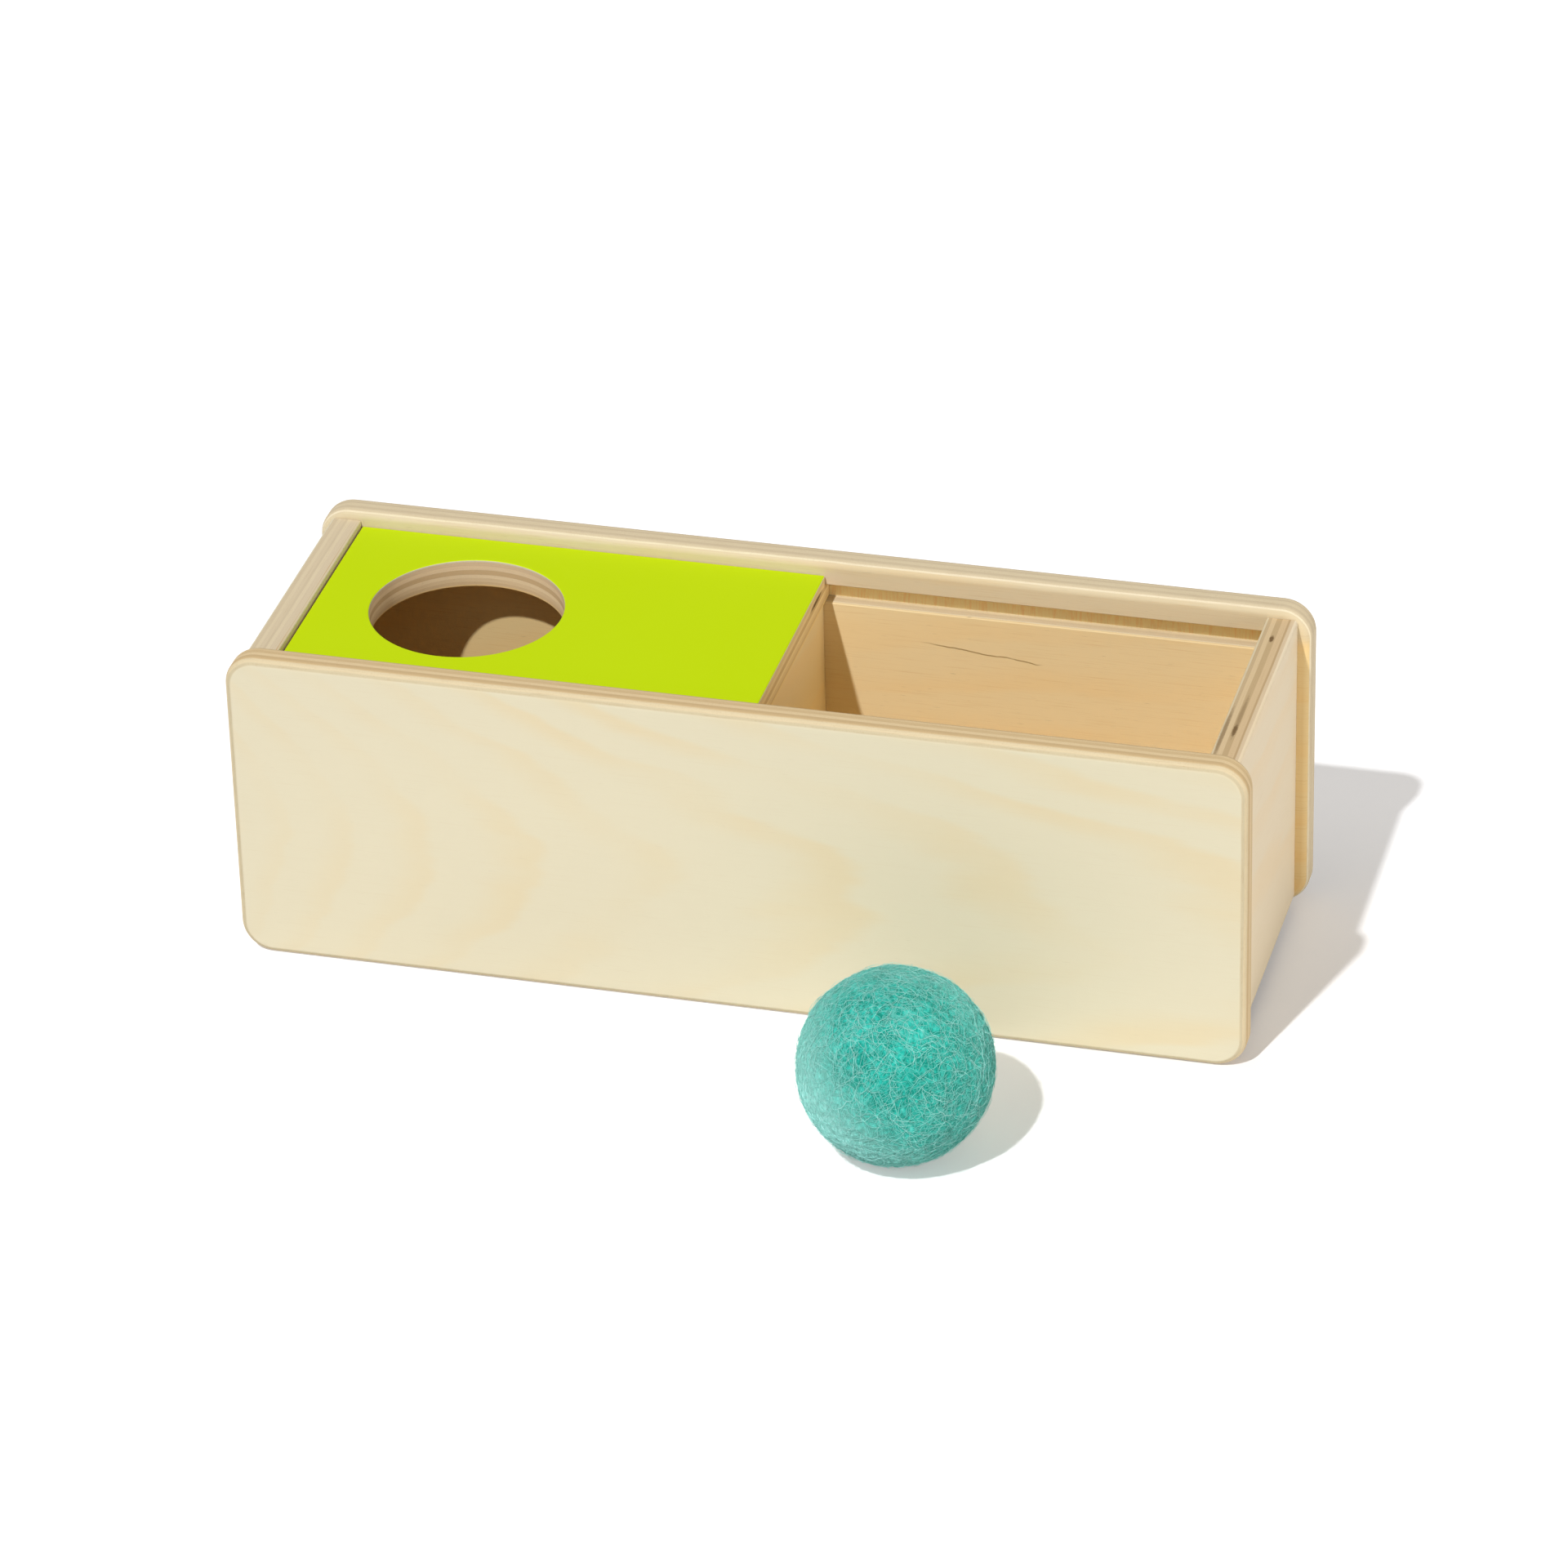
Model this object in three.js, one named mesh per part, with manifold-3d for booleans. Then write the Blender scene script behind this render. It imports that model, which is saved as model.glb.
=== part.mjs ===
// Sliding lid box: a plywood toy box with two compartments, a lid that slides over either
// one in grooves of the side panels, and a felt ball that drops through the lid's hole.
// Millimetres, +Z up. X runs along the box, Y from its front to its back.
// The origin is on the ground, under the middle of the box and the ball together.
import * as THREE from "three";
import { mergeVertices } from "three/addons/utils/BufferGeometryUtils.js";
import Module from "manifold-3d";

const wasm = await Module();
wasm.setup();

// Driving dimensions of the box
const boxLength = 300;
const boxWidth = 100;
const sideHeight = 99;
const panelThickness = 9;
const sideCornerRadius = 9.5;
const sideEdgeRound = 2.5;

// End panels, set back from the edges of the side panels
const endInset = 4.2;
const endTopDrop = 2.9;
const endBottomRise = 3.5;
const endEdgeRound = 1;

// Lid, whose painted face lies below the tops of the end panels.
// The shoulder is cut away along both long edges, which leaves the tongues.
const lidThickness = 9;
const lidShoulder = 3.5;
const lidTopDrop = 1.6;
const lidPastDivider = 0.75;
const lidHoleMargin = 16;
const lidEdgeRound = 0.5;
const lidGrooveDepth = 4.4;

// Divider and floor
const dividerThickness = 9;
const dividerEdgeRound = 0.8;
const floorThickness = 5;
const floorRise = 6;
const floorGrooveDepth = 4;

// Dowels, blind in the side panels
const dowelDiameter = 5;
const dowelInPanel = 12;
const dowelSkin = 3;
const dowelChamfer = 0.6;
const dowelAboveFloor = 16;
const dowelBelowGroove = 17;

// Ball, standing in front of the box on a small flat that its own weight presses
const ballDiameter = 55.4;
const ballSettle = 0.4;
const ballAlong = 63.2;
const ballGap = 33.7;

// Clearances
const glueGap = 0.1;
const lidClearance = 0.25;
const lidEndGap = 0.5;
const floorClearance = 0.25;
const dowelClearance = 0.2;
const dowelEndGap = 0.5;
const ballHoleClearance = 0.8;

// How finely curves are faceted, and how far cutters reach out of the wood
const cornerSegments = 8;
const roundSegments = 3;
const dowelSegments = 12;
const holeSegments = 72;
const ballSegments = 44;
const cutMargin = 2;

// Sizes that follow from the driving dimensions
const innerWidth = boxWidth - 2 * panelThickness;
const innerLength = boxLength - 2 * endInset - 2 * panelThickness;
const glueWidth = innerWidth - 2 * glueGap;
const endTop = sideHeight - endTopDrop;
const lidTop = endTop - lidTopDrop;
const lidBottom = lidTop - lidThickness;
const lidTongue = lidThickness - lidShoulder;
const lidLength = innerLength / 2 + dividerThickness / 2 + lidPastDivider - lidEndGap;
const lidHoleDiameter = ballDiameter + 2 * ballHoleClearance;
const grooveBottom = lidBottom - lidClearance;
const grooveHeight = lidTongue + 2 * lidClearance;
const floorBottom = endBottomRise + floorRise;
const floorTop = floorBottom + floorThickness;
const floorGrooveBottom = floorBottom - floorClearance;
const floorGrooveHeight = floorThickness + 2 * floorClearance;
const dowelInSide = panelThickness - dowelSkin - dowelEndGap;
const dowelHoleRadius = dowelDiameter / 2 + dowelClearance;
const dowelHeights = { low: floorTop + dowelAboveFloor, high: grooveBottom - dowelBelowGroove };
const endCentre = innerLength / 2 + panelThickness / 2;
const crossWalls = { left: -endCentre, middle: 0, right: endCentre };
const ballRadius = ballDiameter / 2;
const ballY = -boxWidth / 2 - ballGap - ballRadius;
const footprintMiddle = (boxWidth / 2 + ballY - ballRadius) / 2;

// Finishes
const birch = { color: 0xe8d8b0, roughness: 0.55 };
const limePaint = { color: 0xc5dd12, roughness: 0.42 };
const beech = { color: 0xd9b98c, roughness: 0.7 };
const felt = { color: 0x5fc0ae, roughness: 0.95 };

// A closed solid from a geometry, without the zero-width triangles at a lathe's poles
function solidOf(geometry) {
  geometry.deleteAttribute("normal");
  geometry.deleteAttribute("uv");
  const merged = mergeVertices(geometry);
  const corners = merged.index.array;
  const triangles = [];
  for (let i = 0; i < corners.length; i += 3) {
    const [a, b, c] = corners.slice(i, i + 3);
    if (a !== b && b !== c && c !== a) {
      triangles.push(a, b, c);
    }
  }
  const vertProperties = new Float32Array(merged.attributes.position.array);
  const triVerts = new Uint32Array(triangles);
  return new wasm.Manifold(new wasm.Mesh({ numProp: 3, vertProperties, triVerts }));
}

function geometryOf(solid) {
  const mesh = solid.getMesh();
  const geometry = new THREE.BufferGeometry();
  geometry.setAttribute("position", new THREE.BufferAttribute(mesh.vertProperties, 3));
  geometry.setIndex(new THREE.BufferAttribute(mesh.triVerts, 1));
  geometry.computeVertexNormals();
  return geometry;
}

function cut(solid, cutters) {
  return cutters.reduce((rest, cutter) => rest.subtract(cutter), solid);
}

// A rectangle with its lower left corner at (x, y) and the given radius at each corner:
// lower left, lower right, upper right, upper left
function roundedRectangle(x, y, width, height, radii) {
  const [lowerLeft, lowerRight, upperRight, upperLeft] = radii;
  const right = x + width;
  const top = y + height;
  const quarter = Math.PI / 2;
  const shape = new THREE.Shape();
  const corner = (radius, centreX, centreY, from) => {
    if (radius > 0) {
      shape.absarc(centreX, centreY, radius, from, from + quarter);
    } else {
      shape.lineTo(centreX, centreY);
    }
  };
  shape.moveTo(x + lowerLeft, y);
  corner(lowerRight, right - lowerRight, y + lowerRight, -quarter);
  corner(upperRight, right - upperRight, top - upperRight, 0);
  corner(upperLeft, x + upperLeft, top - upperLeft, quarter);
  if (lowerLeft > 0) {
    corner(lowerLeft, x + lowerLeft, y + lowerLeft, 2 * quarter);
  } else {
    shape.lineTo(x, y);
  }
  return shape;
}

// A shape drawn in X and Z, extruded along Y from -depth up to the plane Y = 0
function extrudeAlongY(shape, depth, curveSegments, bevel = {}) {
  const options = { depth, curveSegments, bevelEnabled: false, ...bevel };
  return new THREE.ExtrudeGeometry(shape, options).rotateX(Math.PI / 2);
}

// A stopped groove with the round ends that a router leaves, cut into the face Y = 0
function stoppedGroove(straightLength, bottom, height, depth) {
  const radius = height / 2;
  const quarter = Math.PI / 2;
  const shape = new THREE.Shape();
  shape.absarc(straightLength / 2, bottom + radius, radius, -quarter, quarter);
  shape.absarc(-straightLength / 2, bottom + radius, radius, quarter, 3 * quarter);
  const groove = extrudeAlongY(shape, depth + cutMargin, cornerSegments);
  return solidOf(groove.translate(0, cutMargin, 0));
}

// A dowel hole along Y, from the mouth at the given Y into the wood on its side
function dowelHole(x, mouth, z, depth, inward) {
  const length = depth + cutMargin;
  const hole = new THREE.CylinderGeometry(dowelHoleRadius, dowelHoleRadius, length, dowelSegments);
  return solidOf(hole.translate(x, mouth + inward * (depth - cutMargin) / 2, z));
}

// Side panel: its inner face lies at Y = 0 and its bottom edge on the ground
function sidePanel() {
  const round = Math.min(sideEdgeRound, panelThickness / 2 - glueGap);
  const radii = Array(4).fill(sideCornerRadius);
  const outline = roundedRectangle(-boxLength / 2, 0, boxLength, sideHeight, radii);
  const bevel = {
    bevelEnabled: true,
    bevelSize: round,
    bevelThickness: round,
    bevelOffset: -round,
    bevelSegments: roundSegments,
  };
  const flatDepth = panelThickness - 2 * round;
  const board = extrudeAlongY(outline, flatDepth, cornerSegments, bevel).translate(0, -round, 0);
  const holes = Object.values(crossWalls).flatMap((x) =>
    Object.values(dowelHeights).map((z) => dowelHole(x, 0, z, dowelInSide + dowelEndGap, -1)),
  );
  const floorReach = innerLength + 2 * floorGrooveDepth;
  const lidGroove = stoppedGroove(innerLength, grooveBottom, grooveHeight, lidGrooveDepth);
  const floorGroove = stoppedGroove(floorReach, floorGrooveBottom, floorGrooveHeight, floorGrooveDepth);
  return geometryOf(cut(solidOf(board), [lidGroove, floorGroove, ...holes]));
}

// Dowel holes in both edges of a panel that runs across the box, centred on X = 0
function crossPanelHoles() {
  return [1, -1].flatMap((side) =>
    Object.values(dowelHeights).map((z) =>
      dowelHole(0, side * glueWidth / 2, z, dowelInPanel + dowelEndGap, -side),
    ),
  );
}

function crossPanel(thickness, bottom, top, topRound) {
  const radii = [0, 0, topRound, topRound];
  const section = roundedRectangle(-thickness / 2, bottom, thickness, top - bottom, radii);
  return solidOf(extrudeAlongY(section, glueWidth, roundSegments).translate(0, glueWidth / 2, 0));
}

// End panel: its inner face looks to -X and has the floor's groove across it
function endPanel() {
  const board = crossPanel(panelThickness, endBottomRise, endTop, endEdgeRound);
  const grooveReach = floorGrooveDepth + cutMargin;
  const groove = new THREE.BoxGeometry(grooveReach, boxWidth, floorGrooveHeight).translate(
    -panelThickness / 2 - cutMargin + grooveReach / 2,
    0,
    floorGrooveBottom + floorGrooveHeight / 2,
  );
  return geometryOf(cut(board, [solidOf(groove), ...crossPanelHoles()]));
}

// Divider: stands on the floor and stops just under the lid
function dividerPanel() {
  const board = crossPanel(dividerThickness, floorTop + glueGap, grooveBottom, dividerEdgeRound);
  return geometryOf(cut(board, crossPanelHoles()));
}

function floorPanel() {
  const length = innerLength + 2 * (floorGrooveDepth - floorClearance);
  const width = innerWidth + 2 * (floorGrooveDepth - floorClearance);
  return new THREE.BoxGeometry(length, width, floorThickness).translate(0, 0, floorBottom + floorThickness / 2);
}

// Lid: a stepped section extruded along X, with the ball's hole near its left end
function lidBoard() {
  const faceHalf = innerWidth / 2 - lidClearance;
  const tongueHalf = innerWidth / 2 + lidGrooveDepth - lidClearance;
  const quarter = Math.PI / 2;
  const section = new THREE.Shape();
  section.moveTo(-tongueHalf, lidBottom);
  section.lineTo(tongueHalf, lidBottom);
  section.lineTo(tongueHalf, lidBottom + lidTongue);
  section.lineTo(faceHalf, lidBottom + lidTongue);
  section.absarc(faceHalf - lidEdgeRound, lidTop - lidEdgeRound, lidEdgeRound, 0, quarter);
  section.absarc(lidEdgeRound - faceHalf, lidTop - lidEdgeRound, lidEdgeRound, quarter, 2 * quarter);
  section.lineTo(-faceHalf, lidBottom + lidTongue);
  section.lineTo(-tongueHalf, lidBottom + lidTongue);
  const options = { depth: lidLength, curveSegments: roundSegments, bevelEnabled: false };
  const shapeToBox = new THREE.Matrix4().makeBasis(
    new THREE.Vector3(0, 1, 0),
    new THREE.Vector3(0, 0, 1),
    new THREE.Vector3(1, 0, 0),
  );
  const board = new THREE.ExtrudeGeometry(section, options).applyMatrix4(shapeToBox);
  const holeRadius = lidHoleDiameter / 2;
  const holeHeight = lidThickness + 2 * cutMargin;
  const hole = new THREE.CylinderGeometry(holeRadius, holeRadius, holeHeight, holeSegments);
  hole.rotateX(quarter).translate(lidHoleMargin + holeRadius, 0, lidBottom + lidThickness / 2);
  return geometryOf(solidOf(board).subtract(solidOf(hole)));
}

// Dowel along +Y, with its first end at the origin
function dowelPin() {
  const length = dowelInSide + glueGap + dowelInPanel;
  const radius = dowelDiameter / 2;
  const profile = [
    new THREE.Vector2(0, 0),
    new THREE.Vector2(radius - dowelChamfer, 0),
    new THREE.Vector2(radius, dowelChamfer),
    new THREE.Vector2(radius, length - dowelChamfer),
    new THREE.Vector2(radius - dowelChamfer, length),
    new THREE.Vector2(0, length),
  ];
  return geometryOf(solidOf(new THREE.LatheGeometry(profile, dowelSegments)));
}

// Ball about the origin, cut flat by its settled depth underneath
function ballBody() {
  const sphere = new THREE.SphereGeometry(ballRadius, ballSegments, ballSegments / 2).rotateX(Math.PI / 2);
  const ground = new THREE.BoxGeometry(ballDiameter, ballDiameter, ballDiameter);
  ground.translate(0, 0, ballSettle - ballDiameter);
  return geometryOf(solidOf(sphere).subtract(solidOf(ground)));
}

function piece(name, geometry, finish) {
  const mesh = new THREE.Mesh(geometry, new THREE.MeshStandardMaterial({ ...finish, metalness: 0 }));
  mesh.name = name;
  return mesh;
}

function makeBox() {
  const box = new THREE.Group();

  const side = sidePanel();
  const front = piece("front_panel", side, birch);
  front.position.y = -innerWidth / 2;
  const back = piece("back_panel", side, birch);
  back.position.y = innerWidth / 2;
  back.rotation.z = Math.PI;

  const end = endPanel();
  const right = piece("right_end_panel", end, birch);
  right.position.x = crossWalls.right;
  const left = piece("left_end_panel", end, birch);
  left.position.x = crossWalls.left;
  left.rotation.z = Math.PI;

  box.add(front, back, left, right);
  box.add(piece("divider", dividerPanel(), birch));
  box.add(piece("floor_panel", floorPanel(), birch));

  const pin = dowelPin();
  for (const [wall, x] of Object.entries(crossWalls)) {
    for (const [height, z] of Object.entries(dowelHeights)) {
      const frontDowel = piece(`dowel_${wall}_front_${height}`, pin, beech);
      frontDowel.position.set(x, -innerWidth / 2 - dowelInSide, z);
      const backDowel = piece(`dowel_${wall}_back_${height}`, pin, beech);
      backDowel.position.set(x, innerWidth / 2 + dowelInSide, z);
      backDowel.rotation.z = Math.PI;
      box.add(frontDowel, backDowel);
    }
  }
  return box;
}

// The lid rests at the left end of its grooves
function makeLid() {
  const lid = piece("lid", lidBoard(), limePaint);
  lid.position.x = lidEndGap - innerLength / 2;
  return lid;
}

function makeBall() {
  const ball = piece("felt_ball", ballBody(), felt);
  ball.position.set(ballAlong, ballY, ballRadius - ballSettle);
  return ball;
}

const standing = new THREE.Group();
standing.position.y = -footprintMiddle;
standing.add(makeBox(), makeLid(), makeBall());

const slidingLidBox = new THREE.Group();
slidingLidBox.add(standing);

export default slidingLidBox;
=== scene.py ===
"""Looks of the sliding lid box: birch plywood boards, a lime painted lid and a felt ball."""
import math
from collections import namedtuple

import bmesh
import bpy
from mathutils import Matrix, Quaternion, Vector, noise


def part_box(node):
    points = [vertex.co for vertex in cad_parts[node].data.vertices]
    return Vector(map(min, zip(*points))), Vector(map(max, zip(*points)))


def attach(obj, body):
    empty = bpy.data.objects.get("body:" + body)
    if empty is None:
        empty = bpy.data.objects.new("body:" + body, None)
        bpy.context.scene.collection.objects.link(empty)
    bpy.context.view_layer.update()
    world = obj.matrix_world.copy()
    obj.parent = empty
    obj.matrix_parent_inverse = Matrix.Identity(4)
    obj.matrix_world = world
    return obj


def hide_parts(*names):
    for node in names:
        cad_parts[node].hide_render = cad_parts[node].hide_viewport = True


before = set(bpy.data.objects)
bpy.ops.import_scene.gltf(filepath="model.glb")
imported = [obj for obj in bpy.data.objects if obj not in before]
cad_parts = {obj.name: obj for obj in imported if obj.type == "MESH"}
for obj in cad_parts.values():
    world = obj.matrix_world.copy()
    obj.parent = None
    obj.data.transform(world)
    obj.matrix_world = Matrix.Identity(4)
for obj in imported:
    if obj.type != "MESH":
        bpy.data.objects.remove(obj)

MM = 0.001
TO_MM = 1000.0
QUARTER_TURN = math.pi / 2
FULL_TURN = 2 * math.pi
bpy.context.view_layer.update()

# Sizes of the boards that the parts' boxes don't give, in metres
CORNER_RADIUS = 9.5 * MM
EDGE_ROUND = 2.5 * MM
END_TOP_ROUND = 1.0 * MM
END_INNER_ROUND = 0.45 * MM
DIVIDER_TOP_ROUND = 0.8 * MM
FLOOR_EDGE_ROUND = 0.4 * MM
LID_GROOVE_DEPTH = 4.4 * MM
LID_SHOULDER = 3.5 * MM
LID_CLEARANCE = 0.25 * MM
LID_EDGE_ROUND = 0.45 * MM
LID_HOLE_RADIUS = 28.5 * MM
LID_HOLE_MARGIN = 16.0 * MM
FLOOR_GROOVE_DEPTH = 4.0 * MM
FLOOR_CLEARANCE = 0.25 * MM
GROOVE_LIP_ROUND = 0.35 * MM
DOWEL_CLEARANCE = 0.2 * MM
DOWEL_END_GAP = 0.5 * MM
CUT_MARGIN = 2.0 * MM
SAME_PLACE = 1e-6

# How finely curves are drawn, and the angles at which an edge is a corner or is shaded as sharp
CORNER_STEPS = 18
EDGE_STEPS = 8
SMALL_STEPS = 5
HOLE_STEPS = 160
DOWEL_STEPS = 24
BEVEL_STEPS = 3
FELT_STEPS = 6
CORNER_ANGLE = 1.0
SHARP_ANGLE = math.radians(35)

# Boxes of the boards, the lid and the ball
FRONT_LO, FRONT_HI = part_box("front_panel")
BACK_LO, BACK_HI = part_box("back_panel")
LEFT_LO, LEFT_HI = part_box("left_end_panel")
RIGHT_LO, RIGHT_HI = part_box("right_end_panel")
DIVIDER_LO, DIVIDER_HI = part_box("divider")
FLOOR_LO, FLOOR_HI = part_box("floor_panel")
LID_LO, LID_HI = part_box("lid")
BALL_LO, BALL_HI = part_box("felt_ball")
DOWELS = sorted(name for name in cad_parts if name.startswith("dowel_"))
BOARD_MM = (FRONT_HI.y - FRONT_LO.y) * TO_MM
FLOOR_MM = (FLOOR_HI.z - FLOOR_LO.z) * TO_MM
LID_GROOVE = (LID_LO.z - LID_CLEARANCE, LID_HI.z - LID_SHOULDER + LID_CLEARANCE)
FLOOR_GROOVE = (FLOOR_LO.z - FLOOR_CLEARANCE, FLOOR_HI.z + FLOOR_CLEARANCE)

# The felt ball's form and its loose fibres
BALL_RADIUS = (BALL_HI.x - BALL_LO.x) / 2
BALL_CENTRE = Vector((
    (BALL_LO.x + BALL_HI.x) / 2, (BALL_LO.y + BALL_HI.y) / 2, BALL_HI.z - BALL_RADIUS,
))
BALL_SHIFT = Vector((-0.3, 1.1, 0.0)) * MM
BALL_STRETCH = 1.012
LUMP_SIZE = 13.0 * MM
LUMP_HEIGHT = 0.35 * MM
TUFT_SIZE = 1.6 * MM
TUFT_HEIGHT = 0.3 * MM
TUFT_DETAIL = 3
FIBRE_TONE = "fibre_tone"
FIBRE_POINTS = 7
FIBRE_SIDES = 3
SPIN_SEED = 5
TONE_SEED = 11
CURL_SCALE = 260.0
CURL_SPREAD = 40.0
LOOSE_POWER = 3.0
REST_HEIGHT = 1.2
FAR_BACK = -9.0
WEB_FIBRES = {
    "Density": 420000.0, "Length": 7.0 * MM, "Radius": 0.075 * MM, "Curl": 4.5 * MM,
    "Lift": 0.06 * MM, "Loose lift": 0.3 * MM, "Seed": 2,
}
FUZZ_FIBRES = {
    "Density": 260000.0, "Length": 6.5 * MM, "Radius": 0.05 * MM, "Curl": 6.0 * MM,
    "Lift": 0.2 * MM, "Loose lift": 0.9 * MM, "Seed": 8,
}

# Camera, fitted to the edges of the box in the photograph
EYE = Vector((503.5, -1763.1, 1165.6)) * MM
AIM = Vector((2.4, 44.55, 46.87)) * MM
ROLL = math.radians(-1.6)
LENS = 172.25
SENSOR = 36.0

# Light: a key from the front left, a low fill from the right and a weak even surround
KEY_DIRECTION = Vector((22.0, 73.0, -98.0))
KEY_STRENGTH = 2.54
KEY_SPREAD = math.radians(1.6)
FILL_PLACE = Vector((1.8, -0.5, 0.24))
FILL_POWER = 10.9
FILL_COLOUR = (1.0, 0.94, 0.85)
FILL_SIZE = (1.2, 0.5)
SURROUND = 0.29
SURROUND_COLOUR = (1.0, 0.97, 0.93, 1.0)

# The floor, whose glow grows with the distance from the shadow's side of the box: painted light that keeps
# the shadow darker near the box and lighter further off
FLOOR_SPAN = 6.0
FLOOR_DEPTH = 2 * MM
FLOOR_ROUGH = 0.9
FLOOR_GREY = (0.815, 0.82, 0.84, 1.0)
FLOOR_GLOW_COLOUR = (1.0, 0.975, 0.96, 1.0)
FLOOR_GLOW = 0.208
FLOOR_GLOW_FAR = 0.38
GLOW_CENTRE = Vector((0.15, 0.0, 0.0))
GLOW_REACH = (0.03, 0.16)


def srgb(red, green, blue):
    """Linear colour of a screen colour given in 0 to 255."""
    def linear(part):
        share = part / 255
        return share / 12.92 if share <= 0.04045 else ((share + 0.055) / 1.055) ** 2.4
    return (linear(red), linear(green), linear(blue), 1.0)


# Colours of the veneer, and its tints on the outside, the rims and the inside of the compartments.
# Apart from the outside's, the tints are painted light and shade: lit rims, lighter shaded faces and warm
# shade inside the compartments. The den is the left compartment, which the lid covers.
VENEER_PALE = srgb(232, 222, 192)
VENEER_WARM = srgb(234, 216, 176)
VENEER_STREAK = srgb(214, 190, 146)
OUTSIDE_TINT = (0.945, 0.95, 0.965, 1.0)
# Painted light: the right end's outer face lies in shade and is made lighter.
SHADED_END_PAINTED_LIGHT = (1.055, 1.0, 1.01, 1.0)
# Painted light: lit copies of the inner veneer above the groove, a lighter one over the lid.
RIM_PAINTED_LIGHT = (0.89, 0.84, 0.785, 1.0)
DEN_RIM_PAINTED_LIGHT = (0.93, 0.86, 0.87, 1.0)
# Painted shade and bounce light: the back's inside has warm shade, the other insides warm bounce light, the
# den deeper warm shade.
INSIDE_PAINTED_SHADE = (1.04, 0.935, 0.76, 1.0)
BRIGHT_PAINTED_BOUNCE = (1.17, 0.99, 0.7, 1.0)
DEN_PAINTED_SHADE = (1.05, 0.89, 0.62, 1.0)
DEN_FRONT_PAINTED_SHADE = (1.07, 0.85, 0.54, 1.0)
# Painted light: the divider's faces lie in shade and are made lighter.
DIVIDER_PAINTED_LIGHT = (1.23, 1.14, 0.95, 1.0)
# Painted shade: the long sides' insides past the right end are warmer and deeper.
FLANK_PAINTED_SHADE = (1.05, 0.87, 0.6, 1.0)
# Painted light: the lid's right end face lies in shade and is made lighter.
LID_END_PAINTED_LIGHT = (1.13, 1.17, 1.03, 1.0)

# Colours of the groove's wall, lightened as painted light in its shade, the cut edges, the marks, the paint,
# the felt, with painted shade in its pits and painted light on one side, and the dowels
GROOVE_TAN_PAINTED_LIGHT = srgb(255, 236, 182)
GROOVE_FIBRE_PAINTED_LIGHT = srgb(252, 216, 156)
EDGE_STREAK = srgb(176, 144, 100)
KNOT_BROWN = srgb(112, 86, 54)
CRACK_OLIVE = srgb(140, 108, 54)
LIME = srgb(200, 227, 2)
LIME_SOFT = srgb(201, 228, 12)
FELT_DEEP_AND_PIT_SHADE = srgb(0, 142, 125)
FELT_MID = srgb(44, 194, 178)
FELT_LIGHT = srgb(122, 230, 218)
FELT_SOFT = srgb(112, 230, 218)
FELT_PALE = srgb(196, 250, 244)
# Painted light on the ball's lower left side.
FELT_PAINTED_LIGHT = srgb(190, 247, 239)
FELT_SHEEN = (0.55, 1.0, 0.96, 1.0)
BEECH = srgb(214, 180, 134)
BEECH_FLECK = srgb(176, 134, 88)

# Plies of each board: where each begins, in millimetres from the first face, and its tone
FRONT_PLIES = (
    (0.0, srgb(208, 194, 161)), (0.5, srgb(221, 204, 168)), (1.5, srgb(215, 191, 149)),
    (1.8, srgb(209, 182, 138)), (3.35, srgb(229, 205, 162)), (4.7, srgb(215, 189, 145)),
    (6.1, srgb(224, 199, 155)), (7.2, srgb(209, 183, 139)), (8.25, srgb(230, 214, 178)),
)
# The back's ply from 7.8 mm is a pale ply made brighter as a painted highlight along the inner top edge's
# round.
BACK_PLIES = (
    (0.0, srgb(226, 211, 178)), (0.75, srgb(214, 198, 166)), (1.9, srgb(222, 206, 173)),
    (2.9, srgb(212, 195, 164)), (3.8, srgb(223, 207, 174)), (5.5, srgb(214, 197, 165)),
    (6.6, srgb(218, 202, 170)), (7.8, srgb(238, 225, 195)), (8.25, srgb(224, 207, 174)),
)
# The left end's last ply, along its inner top edge beside the lid, is dark brown: painted shade in the gap by
# the lid.
LEFT_PLIES = (
    (0.0, srgb(221, 205, 174)), (0.8, srgb(218, 201, 170)), (2.0, srgb(226, 210, 178)),
    (3.0, srgb(221, 204, 173)), (4.3, srgb(216, 199, 168)), (5.0, srgb(227, 211, 179)),
    (6.1, srgb(221, 204, 174)), (8.2, srgb(196, 146, 84)),
)
# The right end's first two plies, on its shaded outer top edge, are made lighter as painted light.
RIGHT_PLIES = (
    (0.0, srgb(230, 210, 178)), (0.8, srgb(222, 200, 166)), (1.8, srgb(195, 167, 127)),
    (2.4, srgb(217, 190, 149)), (4.2, srgb(199, 173, 132)), (5.85, srgb(220, 195, 154)),
    (7.25, srgb(202, 178, 140)), (8.6, srgb(225, 201, 159)),
)
LID_PLIES = (
    (0.0, srgb(243, 224, 188)), (0.7, srgb(230, 204, 166)), (2.0, srgb(241, 216, 176)),
    (3.3, srgb(217, 188, 144)), (4.9, srgb(245, 221, 180)), (6.0, srgb(235, 209, 167)),
    (7.2, srgb(226, 198, 155)), (8.3, srgb(241, 218, 179)),
)
FLOOR_PLIES = (
    (0.0, srgb(232, 216, 180)), (0.8, srgb(208, 182, 140)), (2.0, srgb(228, 208, 168)),
    (3.1, srgb(208, 182, 140)), (4.2, srgb(232, 216, 180)),
)

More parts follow.
